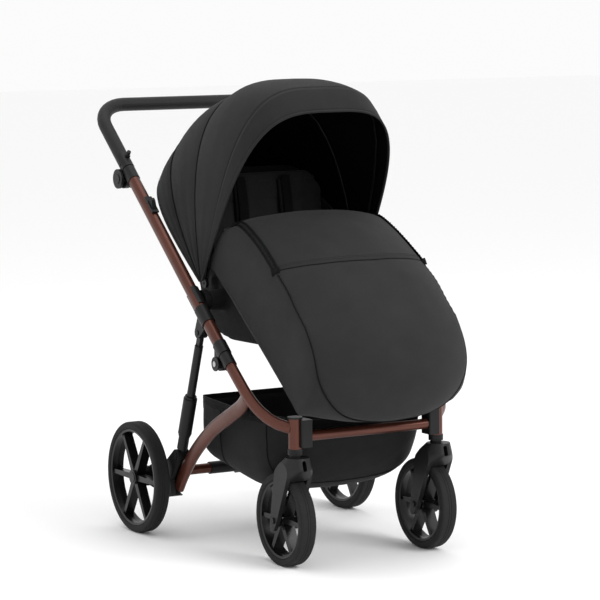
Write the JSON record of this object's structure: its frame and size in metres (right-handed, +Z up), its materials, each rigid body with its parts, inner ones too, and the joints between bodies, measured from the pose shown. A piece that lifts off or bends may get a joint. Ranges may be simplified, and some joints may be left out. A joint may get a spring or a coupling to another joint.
{
  "type": "baby stroller",
  "caption": "Folding baby stroller with swivel front casters, reclining seat, folding canopy, zipped boot cover, under-seat basket and tilting push handle.",
  "frame": {"origin": "on the ground, under the middle of the bounding box", "axes": "+Z up, -Y the way the stroller rolls forward, -X its right side"},
  "size_m": [0.6092, 1.0358, 1.0808],
  "materials": {
    "frame_brown": "satin metallic copper-brown coating",
    "black_plastic": "matte moulded nylon",
    "grey_plastic": "satin moulded nylon",
    "grip": "black leatherette",
    "steel": "zinc-plated steel",
    "tyre": "foamed rubber",
    "hood_fabric": "woven polyester",
    "boot_fabric": "woven polyester",
    "basket_fabric": "coated polyester",
    "seat_fabric": "padded woven polyester",
    "webbing": "nylon webbing"
  },
  "bodies": {
    "chassis": {"lower_tube_right": "frame_brown", "lower_tube_left": "frame_brown", "rear_legs": "frame_brown", "front_cross_tube": "frame_brown", "rear_axle_tube": "frame_brown", "brake_housing": "black_plastic", "rear_brackets": "black_plastic", "rear_axle_pins": "steel", "caster_posts": "frame_brown", "post_blocks": "black_plastic", "lower_hinges": "black_plastic", "basket": "basket_fabric", "basket_clips": "black_plastic"},
    "brake": {"brake_pedal": "black_plastic"},
    "upper_frame": {"upper_tubes": "frame_brown", "upper_hinges": "black_plastic", "hinge_pins": "steel", "strut_brackets": "black_plastic", "seat_adapters": "black_plastic", "handle_sockets": "black_plastic"},
    "handle": {"handle_bar": "grip", "handle_hubs": "black_plastic"},
    "seat": {"seat_shell": "seat_fabric", "seat_liner": "seat_fabric", "harness": "webbing", "bumper_bar": "black_plastic", "boot_cover": "boot_fabric", "canopy_rear": "hood_fabric"},
    "buckle_button": {"harness_button": "black_plastic"},
    "canopy_mid": {"canopy_bow_middle": "black_plastic", "canopy_middle": "hood_fabric"},
    "canopy_head": {"canopy_bow_front": "black_plastic", "canopy_front": "hood_fabric", "canopy_visor": "hood_fabric"},
    "strut_sleeve_right": {"strut_sleeve_right": "black_plastic"},
    "strut_rod_right": {"strut_rod_right": "grey_plastic"},
    "stem_right": {"caster_stem_right": "steel"},
    "lock_right": {"swivel_lock_right": "grey_plastic"},
    "trigger_right": {"fold_trigger_right": "black_plastic"},
    "button_right": {"handle_button_right": "grey_plastic"},
    "fork_right": {"fork_right": "grey_plastic", "front_axle_bolts_right": "steel", "fork_spring_right": "steel"},
    "front_wheel_right": {"front_rim_right": "black_plastic", "front_tyre_right": "tyre"},
    "rear_wheel_right": {"rear_rim_right": "black_plastic", "rear_tyre_right": "tyre"},
    "strut_sleeve_left": {"strut_sleeve_left": "black_plastic"},
    "strut_rod_left": {"strut_rod_left": "grey_plastic"},
    "stem_left": {"caster_stem_left": "steel"},
    "lock_left": {"swivel_lock_left": "grey_plastic"},
    "trigger_left": {"fold_trigger_left": "black_plastic"},
    "button_left": {"handle_button_left": "grey_plastic"},
    "fork_left": {"fork_left": "grey_plastic", "front_axle_bolts_left": "steel", "fork_spring_left": "steel"},
    "front_wheel_left": {"front_rim_left": "black_plastic", "front_tyre_left": "tyre"},
    "rear_wheel_left": {"rear_rim_left": "black_plastic", "rear_tyre_left": "tyre"}
  },
  "joints": [
    {"name": "frame_fold", "type": "hinge", "parent": "chassis", "child": "upper_frame", "pos_m": [0, -0.13237, 0.44403], "axis": [-1, 0, 0], "range_deg": [0, 45]},
    {"name": "handle_fold", "type": "hinge", "parent": "upper_frame", "child": "handle", "pos_m": [0, 0.34233, 0.83974], "axis": [-1, 0, 0], "range_deg": [0, 60]},
    {"name": "seat_recline", "type": "hinge", "parent": "upper_frame", "child": "seat", "pos_m": [0, -0.0079, 0.575], "axis": [1, 0, 0], "range_deg": [-30, 0]},
    {"name": "canopy_fold", "type": "hinge", "parent": "seat", "child": "canopy_mid", "pos_m": [0, 0.0371, 0.6096], "axis": [-1, 0, 0], "range_deg": [0, 25.5], "deforming": ["canopy_middle"]},
    {"name": "canopy_head_fold", "type": "hinge", "parent": "canopy_mid", "child": "canopy_head", "pos_m": [0, 0.0371, 0.6096], "axis": [-1, 0, 0], "range_deg": [0, 29.6], "deforming": ["canopy_front"]},
    {"name": "buckle_press", "type": "slide", "parent": "seat", "child": "buckle_button", "axis": [0, 0.8348, -0.5505], "range_m": [0, 0.003], "stiffness_N_per_m": 600, "springref_m": -0.002},
    {"name": "brake_press", "type": "hinge", "parent": "chassis", "child": "brake", "pos_m": [0, 0.1721, 0.148], "axis": [-1, 0, 0], "range_deg": [0, 20]},
    {"name": "strut_swing_right", "type": "hinge", "parent": "chassis", "child": "strut_sleeve_right", "pos_m": [-0.247, 0.0881, 0.202], "axis": [1, 0, 0], "range_deg": [0, 4.3]},
    {"name": "strut_slide_right", "type": "slide", "parent": "strut_sleeve_right", "child": "strut_rod_right", "axis": [0, -0.3405, 0.9402], "range_m": [-0.0945, 0]},
    {"name": "caster_swivel_right", "type": "hinge", "parent": "chassis", "child": "stem_right", "pos_m": [-0.186, -0.3429, 0.3], "axis": [0, 0, 1], "continuous": true},
    {"name": "suspension_right", "type": "slide", "parent": "stem_right", "child": "fork_right", "axis": [0, 0, 1], "range_m": [0, 0.005], "stiffness_N_per_m": 20000, "springref_m": -0.004, "deforming": ["fork_spring_right"]},
    {"name": "front_spin_right", "type": "hinge", "parent": "fork_right", "child": "front_wheel_right", "pos_m": [-0.186, -0.2979, 0.105], "axis": [1, 0, 0], "continuous": true},
    {"name": "rear_spin_right", "type": "hinge", "parent": "chassis", "child": "rear_wheel_right", "pos_m": [-0.2866, 0.2355, 0.1328], "axis": [1, 0, 0], "continuous": true},
    {"name": "swivel_lock_right", "type": "slide", "parent": "fork_right", "child": "lock_right", "axis": [0, 0, -1], "range_m": [0, 0.006]},
    {"name": "fold_release_right", "type": "slide", "parent": "upper_frame", "child": "trigger_right", "axis": [0, 0.766, 0.6428], "range_m": [0, 0.012], "stiffness_N_per_m": 300, "springref_m": -0.006},
    {"name": "handle_press_right", "type": "slide", "parent": "handle", "child": "button_right", "axis": [1, 0, 0], "range_m": [0, 0.002], "stiffness_N_per_m": 800, "springref_m": -0.002},
    {"name": "strut_swing_left", "type": "hinge", "parent": "chassis", "child": "strut_sleeve_left", "pos_m": [0.247, 0.0881, 0.202], "axis": [1, 0, 0], "range_deg": [0, 4.3]},
    {"name": "strut_slide_left", "type": "slide", "parent": "strut_sleeve_left", "child": "strut_rod_left", "axis": [0, -0.3405, 0.9402], "range_m": [-0.0945, 0]},
    {"name": "caster_swivel_left", "type": "hinge", "parent": "chassis", "child": "stem_left", "pos_m": [0.186, -0.3429, 0.3], "axis": [0, 0, 1], "continuous": true},
    {"name": "suspension_left", "type": "slide", "parent": "stem_left", "child": "fork_left", "axis": [0, 0, 1], "range_m": [0, 0.005], "stiffness_N_per_m": 20000, "springref_m": -0.004, "deforming": ["fork_spring_left"]},
    {"name": "front_spin_left", "type": "hinge", "parent": "fork_left", "child": "front_wheel_left", "pos_m": [0.186, -0.2979, 0.105], "axis": [1, 0, 0], "continuous": true},
    {"name": "rear_spin_left", "type": "hinge", "parent": "chassis", "child": "rear_wheel_left", "pos_m": [0.2866, 0.2355, 0.1328], "axis": [1, 0, 0], "continuous": true},
    {"name": "swivel_lock_left", "type": "slide", "parent": "fork_left", "child": "lock_left", "axis": [0, 0, -1], "range_m": [0, 0.006]},
    {"name": "fold_release_left", "type": "slide", "parent": "upper_frame", "child": "trigger_left", "axis": [0, 0.766, 0.6428], "range_m": [0, 0.012], "stiffness_N_per_m": 300, "springref_m": -0.006},
    {"name": "handle_press_left", "type": "slide", "parent": "handle", "child": "button_left", "axis": [-1, 0, 0], "range_m": [0, 0.002], "stiffness_N_per_m": 800, "springref_m": -0.002}
  ],
  "couplings": [
    {"joint": "canopy_head_fold", "follows": "canopy_fold", "ratio": 1.157},
    {"joint": "strut_swing_right", "follows": "frame_fold", "ratio": 0.0931},
    {"joint": "strut_slide_right", "follows": "frame_fold", "m_per_rad": -0.1196},
    {"joint": "strut_swing_left", "follows": "frame_fold", "ratio": 0.0931},
    {"joint": "strut_slide_left", "follows": "frame_fold", "m_per_rad": -0.1196}
  ]
}
